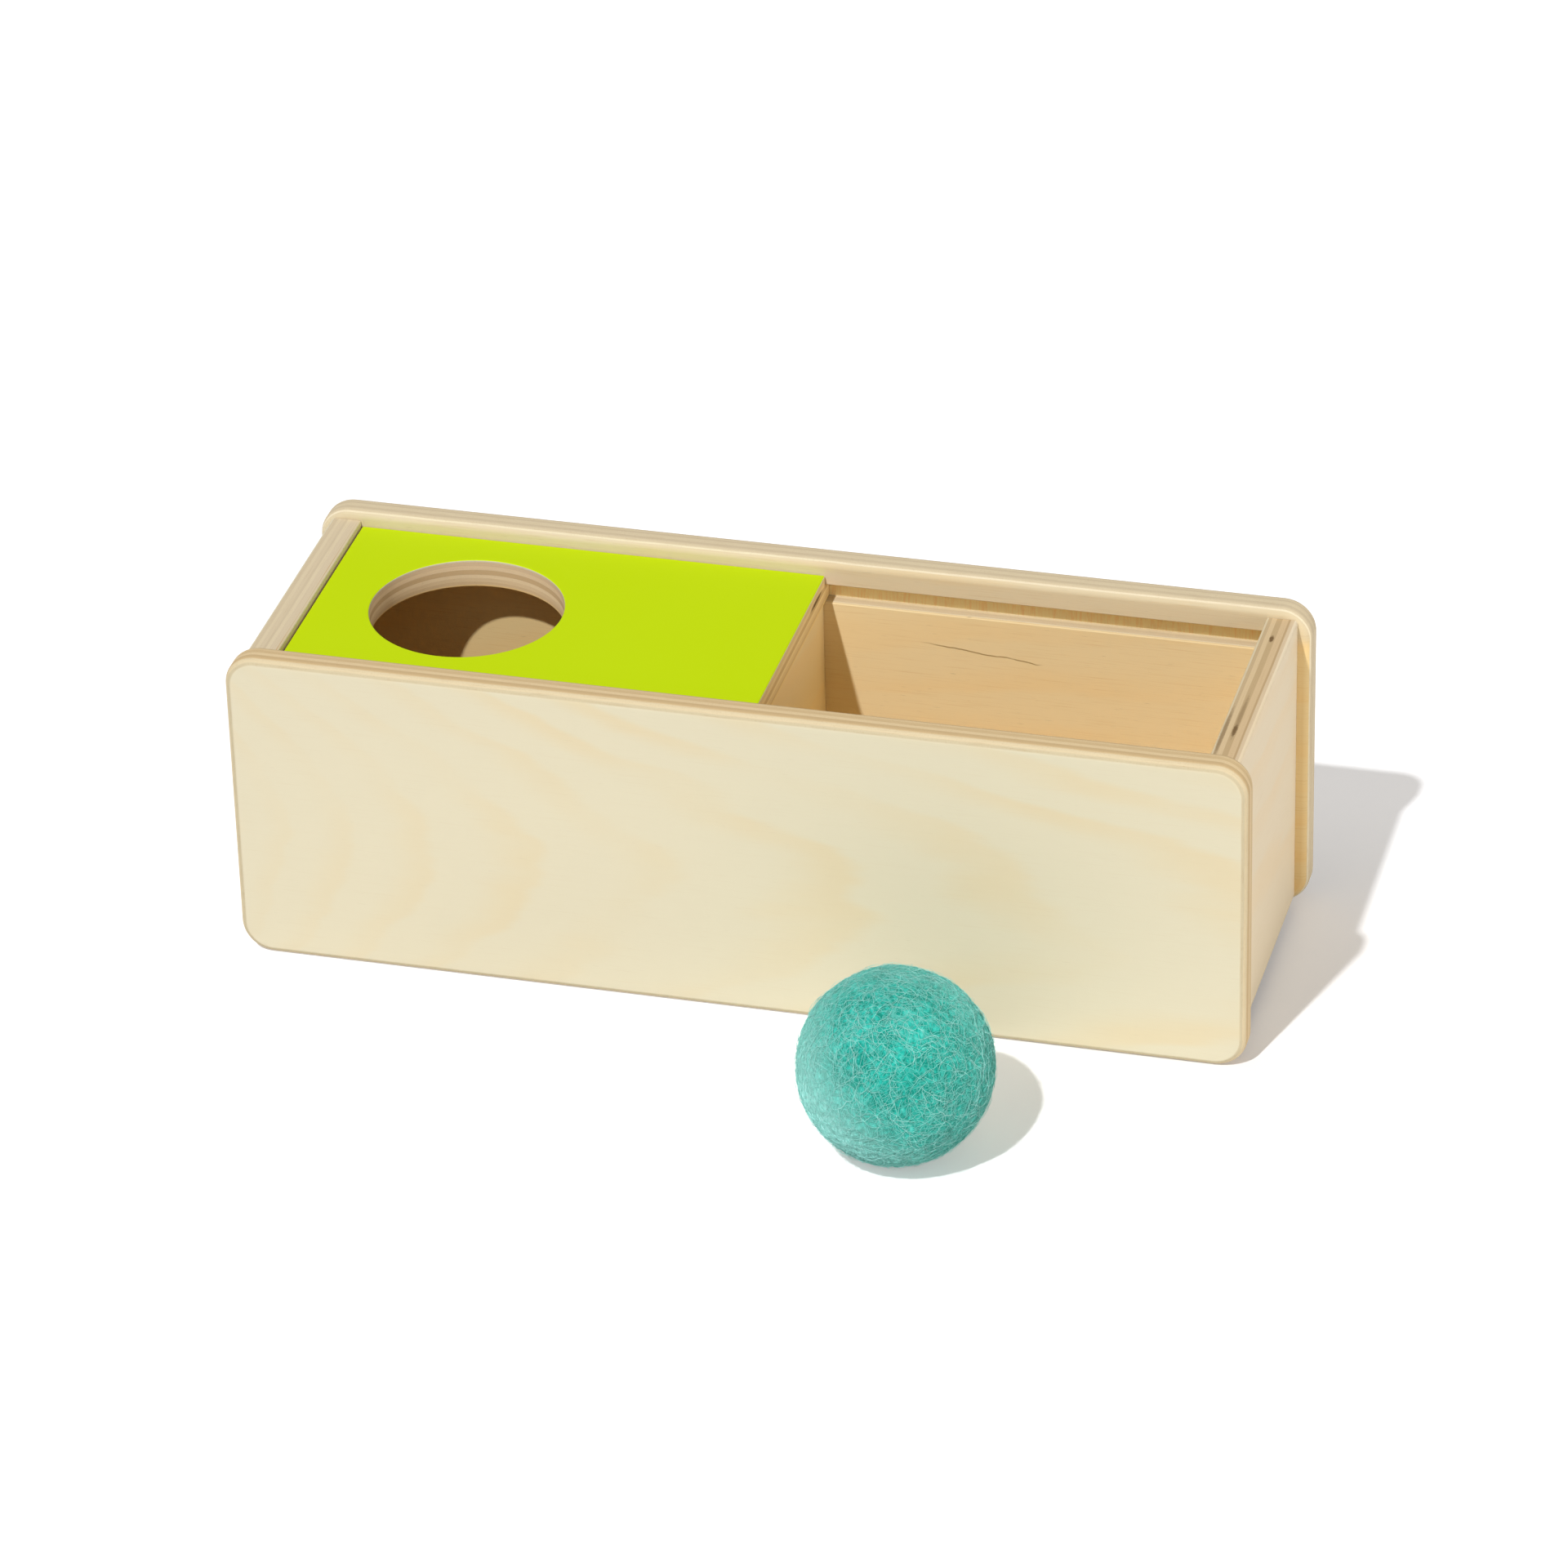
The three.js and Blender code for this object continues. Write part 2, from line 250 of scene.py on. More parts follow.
# Noises of the wood: scales in each millimetre along and across the grain, a shift of the seed,
# detail and roughness
Grain = namedtuple("Grain", "along across shift detail roughness")
WANDER = Grain(0.011, 0.05, 0.0, 3.0, 0.5)
CLOUD = Grain(0.012, 0.022, 9.0, 3.0, 0.5)
FIBRE = Grain(0.05, 2.2, 2.0, 4.0, 0.65)
PORE = Grain(0.2, 3.5, 6.0, 1.0, 0.5)
PLY_SWAY = Grain(0.03, 0.03, 1.5, 2.0, 0.5)
PLY_STREAK = Grain(0.1, 0.1, 0.0, 4.0, 0.65)
PLY_CELL = Grain(2.2, 0.5, 0.0, 2.0, 0.7)
GROOVE_GRAIN = Grain(1.6, 0.12, 4.0, 3.0, 0.65)

# Levels of those noises between which each mark of the wood comes up
BAND_RISE = (0.3, 0.78)
BAND_FALL = (0.8, 0.97)
CLOUD_SHOWS = (0.25, 0.65)
FIBRE_SHOWS = (0.5, 0.8)
PORE_SHOWS = (0.7, 0.82)
STREAK_SHOWS = (0.48, 0.75)
CELL_SHOWS = (0.52, 0.72)
GROOVE_SHOWS = (0.42, 0.72)
FLECK_SHOWS = (0.5, 0.75)

# The figure's share at the left end, where it is calmer, and the span in which it grows to full
CALM_SHARE = 0.45
CALM_SPAN = (-150.0, -40.0)

# Spans of the wood's tones and of its painted light and shade, in millimetres. FAR_OFF is further than any
# board reaches.
FAR_OFF = 9000.0
PLY_WAVE = 0.6
PLY_BLUR = 0.1
LAYER_STEP = 5.0
SKIN_BLUR = 0.08
TINT_FADE = 1.0
RIM_FADE = 5.0
LID_LEFT_FADE = (-6.0, 12.0)
LID_RIGHT_FADE = (12.0, -6.0)
LID_END_FADE = (4.0, 2.0)
PAINT_FADE = (0.26, 0.16)

# The groove's far wall: how far from the groove's borders its tone comes up
WALL_ABOVE = (0.1, 0.4)
WALL_BELOW = (0.05, 0.3)
WALL_PAST_END = (4.0, 3.5)
WALL_FROM_OUTSIDE = (3.0, 3.5)
WALL_FROM_INSIDE = (0.6, 1.2)

# Gloss and relief of the wood, the paint and the felt
WOOD_ROUGH = 0.5
CELL_ROUGH = 0.16
WOOD_SHINE = 0.1
WOOD_BUMP = 0.03 * MM
WOOD_BUMP_SHARE = 0.5
FIBRE_RELIEF = 0.5
PIT_RELIEF = 0.8
PAINT_ROUGH = 0.36
PAINT_RIPPLE = 0.08
PAINT_SHINE = 0.06
BEECH_BUMP = 0.05 * MM
FELT_BUMP = 0.2 * MM
FELT_CLOUD_SCALE = 90.0
FELT_PIT_SCALE = 750.0
FELT_PIT_SHARE = 0.65
# The felt's mottle: deepest teal where the pits sink, partly random tone and partly painted shade in the
# pits.
FELT_STOPS = ((0.44, FELT_DEEP_AND_PIT_SHADE), (0.56, FELT_MID), (0.72, FELT_LIGHT))
# Painted light on the ball: its lower left side, towards the key and the lit floor, is made paler.
PAINTED_LIGHT_SIDE = Vector((-0.78, -0.12, -0.61))
PAINTED_LIGHT_SPAN = (-0.1, 0.85)
PAINTED_LIGHT_SHARE = 0.7

# Marks in millimetres: a spot has its place and half length on an edge, its depth and half width
MARK_ROUGH = 0.7
MARK_FADE = (1.35, 0.5)
MARK_BORDER = 2.0
END_KNOTS = (
    {"axis": "along", "at": 19.0, "half": 17.0, "depth": 7.9, "wide": 0.8, "strength": 0.5},
    {"axis": "along", "at": 28.0, "half": 15.0, "depth": 5.0, "wide": 0.8, "strength": 0.4},
    {"axis": "along", "at": 20.5, "half": 4.0, "depth": 5.0, "wide": 0.8, "strength": 0.8},
    {"axis": "along", "at": 73.5, "half": 2.4, "depth": 5.2, "wide": 0.8, "strength": 0.9},
)
LID_SCAR = {
    "axis": "across", "at": 75.0, "half": 8.0, "depth": 3.2, "wide": 0.9, "strength": 0.95, "beyond": -2.0,
}
BACK_CRACK = {"start": 32.6, "end": 71.0, "height": 75.7, "slope": -0.1, "strength": 0.8}
CRACK_SWAY = 1.6
CRACK_THIN = (0.32, 0.06)
CRACK_START_FADE = 9.0
CRACK_END_FADE = 4.0
CRACK_PARTS = (0.15, 0.5)
CRACK_FACE = (0.4, 0.2)

# Axes of a board: along and across its face grain, and through it
SIDE_AXES = ("X", "Z", "Y")
END_AXES = ("Y", "Z", "X")
FLAT_AXES = ("X", "Y", "Z")


class Tree:
    """A node tree with short calls that hand back the new node's output."""

    def __init__(self, tree):
        self.nodes = tree.nodes
        self.links = tree.links

    def feed(self, node, inputs):
        """Link or set a node's inputs, by name or number."""
        for key, value in inputs.items():
            if isinstance(value, bpy.types.NodeSocket):
                self.links.new(value, node.inputs[key])
            else:
                node.inputs[key].default_value = value

    def add(self, kind, inputs=None, **settings):
        node = self.nodes.new(kind)
        for name, value in settings.items():
            setattr(node, name, value)
        self.feed(node, inputs or {})
        return node

    def put(self, kind, inputs=None, **settings):
        """The first output of a new node."""
        return self.add(kind, inputs, **settings).outputs[0]

    def place(self):
        return self.add("ShaderNodeTexCoord").outputs["Object"]

    def math(self, operation, *values):
        return self.put("ShaderNodeMath", dict(enumerate(values)), operation=operation)

    def product(self, first, *others):
        for other in others:
            first = self.math("MULTIPLY", first, other)
        return first

    def swayed(self, value, wave, reach):
        """A value that a noise pushes to and fro."""
        return self.math("MULTIPLY_ADD", self.math("SUBTRACT", wave, 0.5), reach, value)

    def vector_math(self, operation, *values):
        return self.put("ShaderNodeVectorMath", dict(enumerate(values)), operation=operation)

    def measure(self, operation, *vectors):
        """A vector operation whose result is a number."""
        node = self.add("ShaderNodeVectorMath", dict(enumerate(vectors)), operation=operation)
        return node.outputs["Value"]

    def scaled(self, vector, factor):
        return self.put("ShaderNodeVectorMath", {0: vector, "Scale": factor}, operation="SCALE")

    def combine(self, x, y, z):
        return self.put("ShaderNodeCombineXYZ", {"X": x, "Y": y, "Z": z})

    def noise(self, vector, scale, detail=2.0, roughness=0.5):
        inputs = {"Vector": vector, "Scale": scale, "Detail": detail, "Roughness": roughness}
        return self.add("ShaderNodeTexNoise", inputs).outputs["Fac"]

    def grain(self, kind, along, across, seed=0.0):
        """Noise with its own scale along and across the grain."""
        first = self.math("MULTIPLY", along, kind.along)
        second = self.math("MULTIPLY", across, kind.across)
        third = self.math("ADD", seed, kind.shift)
        return self.noise(self.combine(first, second, third), 1.0, kind.detail, kind.roughness)

    def step(self, value, start, end):
        """0 at the start, 1 at the end and smooth between. The start may be the larger one."""
        inputs = {"Value": value, "From Min": start, "From Max": end}
        return self.put("ShaderNodeMapRange", inputs, interpolation_type="SMOOTHSTEP")

    def mix(self, factor, first, second, blend="MIX"):
        node = self.add("ShaderNodeMix", data_type="RGBA", blend_type=blend)
        self.feed(node, {0: factor, 6: first, 7: second})
        return node.outputs[2]

    def mix_value(self, factor, first, second):
        return self.put("ShaderNodeMix", {0: factor, 2: first, 3: second}, data_type="FLOAT")

    def tinge(self, colour, mask, share, second):
        """A colour with a share of a second one where the mask is."""
        return self.mix(self.math("MULTIPLY", mask, share), colour, second)

    def ramp(self, factor, stops):
        node = self.add("ShaderNodeValToRGB", {"Fac": factor})
        points = node.color_ramp.elements
        while len(points) < len(stops):
            points.new(1.0)
        for point, (place, colour) in zip(points, stops):
            point.position = place
            point.color = colour
        return node.outputs["Color"]

    def bump(self, height, distance, strength=1.0):
        inputs = {"Height": height, "Distance": distance, "Strength": strength}
        return self.put("ShaderNodeBump", inputs)


def new_material(name):
    material = bpy.data.materials.new(name)
    material.use_nodes = True
    return material, Tree(material.node_tree), material.node_tree.nodes["Principled BSDF"]


# Plywood


def board_space(tree, along, across, through, face, sign):
    """Place on a board in millimetres: along and across the face grain, and in from its first face."""
    place = tree.vector_math("MULTIPLY", tree.place(), (TO_MM,) * 3)
    split = tree.add("ShaderNodeSeparateXYZ", {"Vector": place}).outputs
    depth = tree.math("MULTIPLY", tree.math("SUBTRACT", split[through], face * TO_MM), sign)
    return split[along], split[across], depth


def veneer_colour(tree, along, across, look):
    """Rotary cut birch: nested soft arcs, fine fibres and a few pores."""
    seed = look["seed"]
    wander = tree.grain(WANDER, along, across, seed)
    from_heart = tree.math("SUBTRACT", across, look["heart"])
    arc = tree.product(from_heart, from_heart, look["bow"])
    reach = tree.math("LOGARITHM", tree.math("ADD", along, look["origin"]), math.e)
    rings = tree.math("MULTIPLY_ADD", reach, look["spread"], arc)
    phase = tree.math("FRACT", tree.math("MULTIPLY_ADD", wander, look["wander"], rings))
    line = tree.math("SUBTRACT", tree.step(phase, *BAND_RISE), tree.step(phase, *BAND_FALL))
    cloud = tree.step(tree.grain(CLOUD, along, across, seed), *CLOUD_SHOWS)
    calm = tree.math("MULTIPLY_ADD", tree.step(along, *CALM_SPAN), 1 - CALM_SHARE, CALM_SHARE)
    colour = tree.tinge(VENEER_PALE, tree.product(line, cloud, calm), look["figure"], VENEER_WARM)
    fibre = tree.grain(FIBRE, along, across, seed)
    colour = tree.tinge(colour, tree.step(fibre, *FIBRE_SHOWS), look["streak"], VENEER_STREAK)
    pore = tree.grain(PORE, along, across, seed)
    colour = tree.tinge(colour, tree.step(pore, *PORE_SHOWS), look["pore"], KNOT_BROWN)
    return colour, fibre


def edge_colour(tree, along, across, depth, look, plies):
    """The plies seen on a cut edge, each with its own tone, with fine streaks along the edge."""
    thickness = look["thickness"]
    wavy = tree.swayed(depth, tree.grain(PLY_SWAY, along, across), PLY_WAVE)
    stops = []
    for (start, colour), (end, _) in zip(plies, plies[1:] + ((thickness, None),)):
        stops.append(((start + PLY_BLUR) / thickness, colour))
        stops.append(((end - PLY_BLUR) / thickness, colour))
    colour = tree.ramp(tree.math("DIVIDE", wavy, thickness), stops)
    layer = tree.math("MULTIPLY", depth, LAYER_STEP)
    streak = tree.grain(PLY_STREAK, along, across, layer)
    colour = tree.tinge(colour, tree.step(streak, *STREAK_SHOWS), look["edge_streak"], EDGE_STREAK)
    cell = tree.grain(PLY_CELL, along, across, layer)
    colour = tree.tinge(colour, tree.step(cell, *CELL_SHOWS), look["edge_cell"], EDGE_STREAK)
    return colour, cell


def face_tint_with_painted_light_and_shade(tree, along, across, depth, look):
    """The veneer's tint: the outside's own, and painted light and shade on a rim, in a compartment, in the
    den, and on the flanks past the end boards.
    """
    inside = tree.step(depth, look["inner_from"], look["inner_from"] + TINT_FADE)
    below_rim = tree.step(across, look["rim_from"], look["rim_from"] - RIM_FADE)
    in_den = tree.step(along, look["den_from"], look["den_from"] - TINT_FADE)
    right_ends = [look["lid_until"] + way for way in LID_RIGHT_FADE]
    left_ends = [LID_LO.x * TO_MM + way for way in LID_LEFT_FADE]
    over_lid = tree.product(tree.step(along, *right_ends), tree.step(along, *left_ends))
    # Painted shade on the long sides' insides past the end boards.
    flank_from = RIGHT_HI.x * TO_MM
    on_flank = tree.step(tree.math("ABSOLUTE", along), flank_from - TINT_FADE, flank_from)
    room = tree.mix(in_den, look["inner_painted_light_and_shade"], look["den_painted_shade_tint"])
    room = tree.mix(on_flank, room, FLANK_PAINTED_SHADE)
    # Painted light on the rim above the groove, lighter over the lid.
    rim = tree.mix(over_lid, RIM_PAINTED_LIGHT, DEN_RIM_PAINTED_LIGHT)
    return tree.mix(inside, look["tint"], tree.mix(below_rim, rim, room))


def groove_mask(tree, along, across, depth):
    """The far wall of the lid's groove in a long side."""
    low, high = (level * TO_MM for level in LID_GROOVE)
    end = RIGHT_LO.x * TO_MM
    return tree.product(
        tree.step(across, *(low + way for way in WALL_ABOVE)),
        tree.step(across, *(high - way for way in WALL_BELOW)),
        tree.step(tree.math("ABSOLUTE", along), *(end + way for way in WALL_PAST_END)),
        tree.step(depth, *WALL_FROM_OUTSIDE),
        tree.step(depth, *(BOARD_MM - way for way in WALL_FROM_INSIDE)),
    )


def mark_mask(tree, along, across, depth, mark):
    """A soft lens shaped spot on a cut edge, if need be only beyond a place across that edge."""
    place, other = (along, across) if mark["axis"] == "along" else (across, along)
    far = tree.math("DIVIDE", tree.math("SUBTRACT", place, mark["at"]), mark["half"])
    off = tree.math("DIVIDE", tree.math("SUBTRACT", depth, mark["depth"]), mark["wide"])
    reach = tree.math("ADD", tree.product(far, far), tree.product(off, off))
    rough = tree.noise(tree.combine(place, depth, 2.0), 1.1, 3.0)
    reach = tree.math("MULTIPLY_ADD", rough, MARK_ROUGH, reach)
    shown = tree.math("MULTIPLY", tree.step(reach, *MARK_FADE), mark["strength"])
    if "beyond" in mark:
        shown = tree.math("MULTIPLY", shown, tree.step(other, mark["beyond"], mark["beyond"] + MARK_BORDER))
    return shown


def crack_mask(tree, along, across, depth, crack):
    """A hairline in a face veneer, darker in places."""
    start, end = crack["start"], crack["end"]
    run = tree.math("SUBTRACT", along, start)
    line = tree.math("MULTIPLY_ADD", run, crack["slope"], crack["height"])
    line = tree.swayed(line, tree.noise(tree.combine(along, 0.0, 5.0), 0.14, 3.0), CRACK_SWAY)
    off = tree.math("ABSOLUTE", tree.math("SUBTRACT", across, line))
    parts = tree.noise(tree.combine(along, 3.0, 0.0), 0.16)
    return tree.product(
        tree.step(off, *CRACK_THIN),
        tree.step(along, start, start + CRACK_START_FADE),
        tree.step(along, end, end - CRACK_END_FADE),
        tree.step(parts, *CRACK_PARTS),
        tree.step(depth, *(BOARD_MM - way for way in CRACK_FACE)),
    )


def plywood(name, space, plies, look, marks=(), crack=None):
    """Birch plywood with a clear satin lacquer."""
    material, tree, shader = new_material(name)
    along, across, depth = board_space(tree, *space)
    face, fibre = veneer_colour(tree, along, across, look)
    # The face veneer times its tint, which carries painted light and shade on the rims, inside and on the
    # flanks.
    face = tree.mix(1.0, face, face_tint_with_painted_light_and_shade(tree, along, across, depth, look), "MULTIPLY")
    edge, cell = edge_colour(tree, along, across, depth, look, plies)
    from_last = tree.math("SUBTRACT", look["thickness"], depth)
    cut = tree.product(
        tree.step(depth, look["outer_skin"] - SKIN_BLUR, look["outer_skin"] + SKIN_BLUR),
        tree.step(from_last, look["skin"] - SKIN_BLUR, look["skin"] + SKIN_BLUR),
    )
    colour = tree.mix(cut, face, edge)
    if look["grooved"]:
        # The groove's far wall: the cross ply's tan and streaks, made lighter as painted light in the
        # groove's shade.
        wall = tree.step(tree.grain(GROOVE_GRAIN, along, across), *GROOVE_SHOWS)
        wall = tree.mix(wall, GROOVE_TAN_PAINTED_LIGHT, GROOVE_FIBRE_PAINTED_LIGHT)
        colour = tree.mix(groove_mask(tree, along, across, depth), colour, wall)
    for mark in marks:
        colour = tree.mix(mark_mask(tree, along, across, depth, mark), colour, KNOT_BROWN)
    if crack:
        shown = crack_mask(tree, along, across, depth, crack)
        colour = tree.tinge(colour, shown, crack["strength"], CRACK_OLIVE)
    pits = tree.product(cell, cut, PIT_RELIEF)
    relief = tree.math("SUBTRACT", tree.math("MULTIPLY", fibre, FIBRE_RELIEF), pits)
    tree.feed(shader, {
        "Base Color": colour,
        "Roughness": tree.math("MULTIPLY_ADD", cell, CELL_ROUGH, WOOD_ROUGH),
        "Normal": tree.bump(relief, WOOD_BUMP, WOOD_BUMP_SHARE),
        "Specular IOR Level": WOOD_SHINE,
    })
    return material


def lime_lid_finish(space, look):
    """Satin lime paint on the top face, bare plywood on the edges and in the hole, with painted light on the
    lid's right end face.
    """
    material = plywood("lime_lid", space, LID_PLIES, look, (LID_SCAR,))
    tree = Tree(material.node_tree)
    shader = material.node_tree.nodes["Principled BSDF"]
    wood, wood_rough = (shader.inputs[key].links[0].from_socket for key in ("Base Color", "Roughness"))
    along, across, depth = board_space(tree, *space)
    # Painted light: the lid's right end face, in shade, is made lighter.
    at_end = tree.step(along, *(LID_HI.x * TO_MM - way for way in LID_END_FADE))
    wood = tree.mix(at_end, wood, tree.mix(1.0, wood, LID_END_PAINTED_LIGHT, "MULTIPLY"))
    cover = tree.step(depth, *PAINT_FADE)
    cloud = tree.noise(tree.combine(along, across, 3.0), 0.02)
    ripple = tree.noise(tree.combine(along, across, 0.0), 0.6)
    paint_rough = tree.math("MULTIPLY_ADD", ripple, PAINT_RIPPLE, PAINT_ROUGH)
    tree.feed(shader, {
        "Base Color": tree.mix(cover, wood, tree.mix(cloud, LIME, LIME_SOFT)),
        "Roughness": tree.mix_value(cover, wood_rough, paint_rough),
        "Specular IOR Level": tree.mix_value(cover, WOOD_SHINE, PAINT_SHINE),
    })
    return material


def beech_finish():
    """Bare beech with short dark flecks along the dowel."""
    material, tree, shader = new_material("beech_dowel")
    stretched = tree.vector_math("MULTIPLY", tree.place(), (TO_MM, 0.12 * TO_MM, TO_MM))
    fleck = tree.noise(stretched, 1.6, 3.0, 0.6)
    tree.feed(shader, {
        "Base Color": tree.mix(tree.step(fleck, *FLECK_SHOWS), BEECH, BEECH_FLECK),
        "Normal": tree.bump(fleck, BEECH_BUMP),
        "Roughness": 0.7,
    })
    return material


def felt_finish(name, light, dull, bright):
    """Felted wool: mottled teal, darker in the pits as painted shade and paler on its lower left side as
    painted light, dull, with a soft sheen. light is the share of the strands' own tone.
    """
    material, tree, shader = new_material(name)
    place = tree.place()
    cloud = tree.noise(place, FELT_CLOUD_SCALE, 3.0, 0.6)
    pit = tree.noise(place, FELT_PIT_SCALE, 4.0, 0.65)
    cloud_part = tree.math("MULTIPLY", cloud, 1 - FELT_PIT_SHARE)
    # Deeper teal where the pits sink: partly the wool's mottle, partly painted shade.
    base = tree.ramp(tree.math("MULTIPLY_ADD", pit, FELT_PIT_SHARE, cloud_part), FELT_STOPS)
    tone = tree.add("ShaderNodeAttribute", attribute_name=FIBRE_TONE).outputs["Fac"]
    wool = tree.mix(light, base, tree.mix(tone, dull, bright))
    # Painted light: paler towards the ball's lower left side.
    way = tree.vector_math("NORMALIZE", tree.vector_math("SUBTRACT", place, BALL_CENTRE))
    pale = tree.step(tree.measure("DOT_PRODUCT", way, PAINTED_LIGHT_SIDE), *PAINTED_LIGHT_SPAN)
    tree.feed(shader, {
        "Base Color": tree.tinge(wool, pale, PAINTED_LIGHT_SHARE, FELT_PAINTED_LIGHT),
        "Normal": tree.bump(pit, FELT_BUMP),
        "Roughness": 1.0,
        "Specular IOR Level": 0.05,
        "Sheen Weight": 1.0,
        "Sheen Roughness": 0.5,
        "Sheen Tint": FELT_SHEEN,
    })
    return material


# Mesh building


def new_object(name, data):
    thing = bpy.data.objects.new(name, data)
    bpy.context.scene.collection.objects.link(thing)
    return thing


def from_bmesh(name, shape):
    bmesh.ops.recalc_face_normals(shape, faces=shape.faces)
    mesh = bpy.data.meshes.new(name)
    shape.to_mesh(mesh)
    shape.free()
    return new_object(name, mesh)


def settle(thing):
    """Turn what the modifiers make into the object's own mesh."""
    graph = bpy.context.evaluated_depsgraph_get()
    mesh = bpy.data.meshes.new_from_object(thing.evaluated_get(graph), depsgraph=graph)
    old = thing.data
    thing.modifiers.clear()
    thing.data = mesh
    bpy.data.meshes.remove(old)
    mesh.name = thing.name


def arc_points(centre, radius, start, steps, sweep=QUARTER_TURN):
    turns = [start + sweep * step / steps for step in range(steps + 1)]
    return [(centre[0] + radius * math.cos(turn), centre[1] + radius * math.sin(turn)) for turn in turns]


def circle_points(centre, radius, steps):
    return arc_points(centre, radius, 0.0, steps, FULL_TURN)[:-1]


def rounded_outline(low, high, radius, steps):
    """A rectangle from low to high with round corners, anticlockwise."""
    corners = (
        (high[0] - radius, high[1] - radius, 0.0),
        (low[0] + radius, high[1] - radius, QUARTER_TURN),
        (low[0] + radius, low[1] + radius, 2 * QUARTER_TURN),
        (high[0] - radius, low[1] + radius, 3 * QUARTER_TURN),
    )
    return [point for x, y, start in corners for point in arc_points((x, y), radius, start, steps)]


def place_point(point, depth, axis):
    """A section's point at a depth along an axis: the section's two axes keep the X, Y, Z order."""
    first, second = point
    return {"X": (depth, first, second), "Y": (first, depth, second), "Z": (first, second, depth)}[axis]


def add_loft(shape, levels, axis):
    """A closed form through outlines of as many points each, given as pairs of a depth and an outline."""
    rings = []
    for depth, outline in levels:
        rings.append([shape.verts.new(place_point(point, depth, axis)) for point in outline])
    count = len(rings[0])
    for lower, upper in zip(rings, rings[1:]):
        for index in range(count):
            following = (index + 1) % count
            shape.faces.new((lower[index], lower[following], upper[following], upper[index]))
    shape.faces.new(rings[0])
    shape.faces.new(rings[-1])


def add_prism(shape, section, low, high, axis):
    add_loft(shape, ((low, section), (high, section)), axis)


def prism(name, section, low, high, axis):
    shape = bmesh.new()
    add_prism(shape, section, low, high, axis)
    return from_bmesh(name, shape)


def rounded_board(name, low, high):
    """A board standing in X and Z with round corners and a round run over every edge."""
    turns = [QUARTER_TURN * step / EDGE_STEPS for step in range(EDGE_STEPS + 1)]
    profile = [(EDGE_ROUND * (1 - math.sin(turn)), EDGE_ROUND * (1 - math.cos(turn))) for turn in turns]
    insets = [(inset, low.y + rise) for inset, rise in profile]
    insets += [(inset, high.y - rise) for inset, rise in reversed(profile)]
    levels = []
    for inset, depth in insets:
        start = (low.x + inset, low.z + inset)
        end = (high.x - inset, high.z - inset)
        levels.append((depth, rounded_outline(start, end, CORNER_RADIUS - inset, CORNER_STEPS)))
    shape = bmesh.new()
    add_loft(shape, levels, "Y")
    return from_bmesh(name, shape)


def carve(thing, cutter):
    cut = thing.modifiers.new("cut", "BOOLEAN")
    cut.operation = "DIFFERENCE"
    cut.solver = "EXACT"
    cut.object = cutter
    settle(thing)


def discard(thing):
    mesh = thing.data
    bpy.data.objects.remove(thing)
    bpy.data.meshes.remove(mesh)


def is_corner(edge):
    return edge.calc_face_angle(0.0) > CORNER_ANGLE


def round_edges(thing, radius, chosen):
    """Round the chosen edges of a board."""
    shape = bmesh.new()
    shape.from_mesh(thing.data)
    bmesh.ops.bevel(
        shape, geom=[edge for edge in shape.edges if chosen(edge)], offset=radius, segments=BEVEL_STEPS,
        profile=0.5, affect="EDGES", clamp_overlap=True,
    )
    shape.to_mesh(thing.data)
    shape.free()


def smooth(thing):
    """Smooth shading that keeps flat faces flat and sharp edges sharp."""
    shape = bmesh.new()
    shape.from_mesh(thing.data)
    for face in shape.faces:
        face.smooth = True
    for edge in shape.edges:
        edge.smooth = edge.calc_face_angle(0.0) < SHARP_ANGLE
    shape.to_mesh(thing.data)
    shape.free()
    even = thing.modifiers.new("even", "WEIGHTED_NORMAL")
    even.keep_sharp = True
    settle(thing)


def finish_piece(thing, material, slot, body, *nodes):
    thing.data.materials.clear()
    thing.data.materials.append(material)
    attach(thing, body)
    if nodes:
        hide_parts(*nodes)


# The boards


def slot_section(half, low, high):
    """A groove's outline with the round ends that a router leaves."""
    radius = (high - low) / 2
    middle = (low + high) / 2
    right = arc_points((half, middle), radius, -QUARTER_TURN, SMALL_STEPS * 2, math.pi)
    left = arc_points((-half, middle), radius, QUARTER_TURN, SMALL_STEPS * 2, math.pi)
    return right + left


def dowel_cutter():
    """Every dowel hole in one cutter, as deep as the dowel and its end gaps."""
    shape = bmesh.new()
    for name in DOWELS:
        low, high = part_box(name)
        middle = (low + high) / 2
        radius = (high.z - low.z) / 2 + DOWEL_CLEARANCE
        circle = circle_points((middle.x, middle.z), radius, DOWEL_STEPS)
        add_prism(shape, circle, low.y - DOWEL_END_GAP, high.y + DOWEL_END_GAP, "Y")
    return from_bmesh("dowel_cutter", shape)


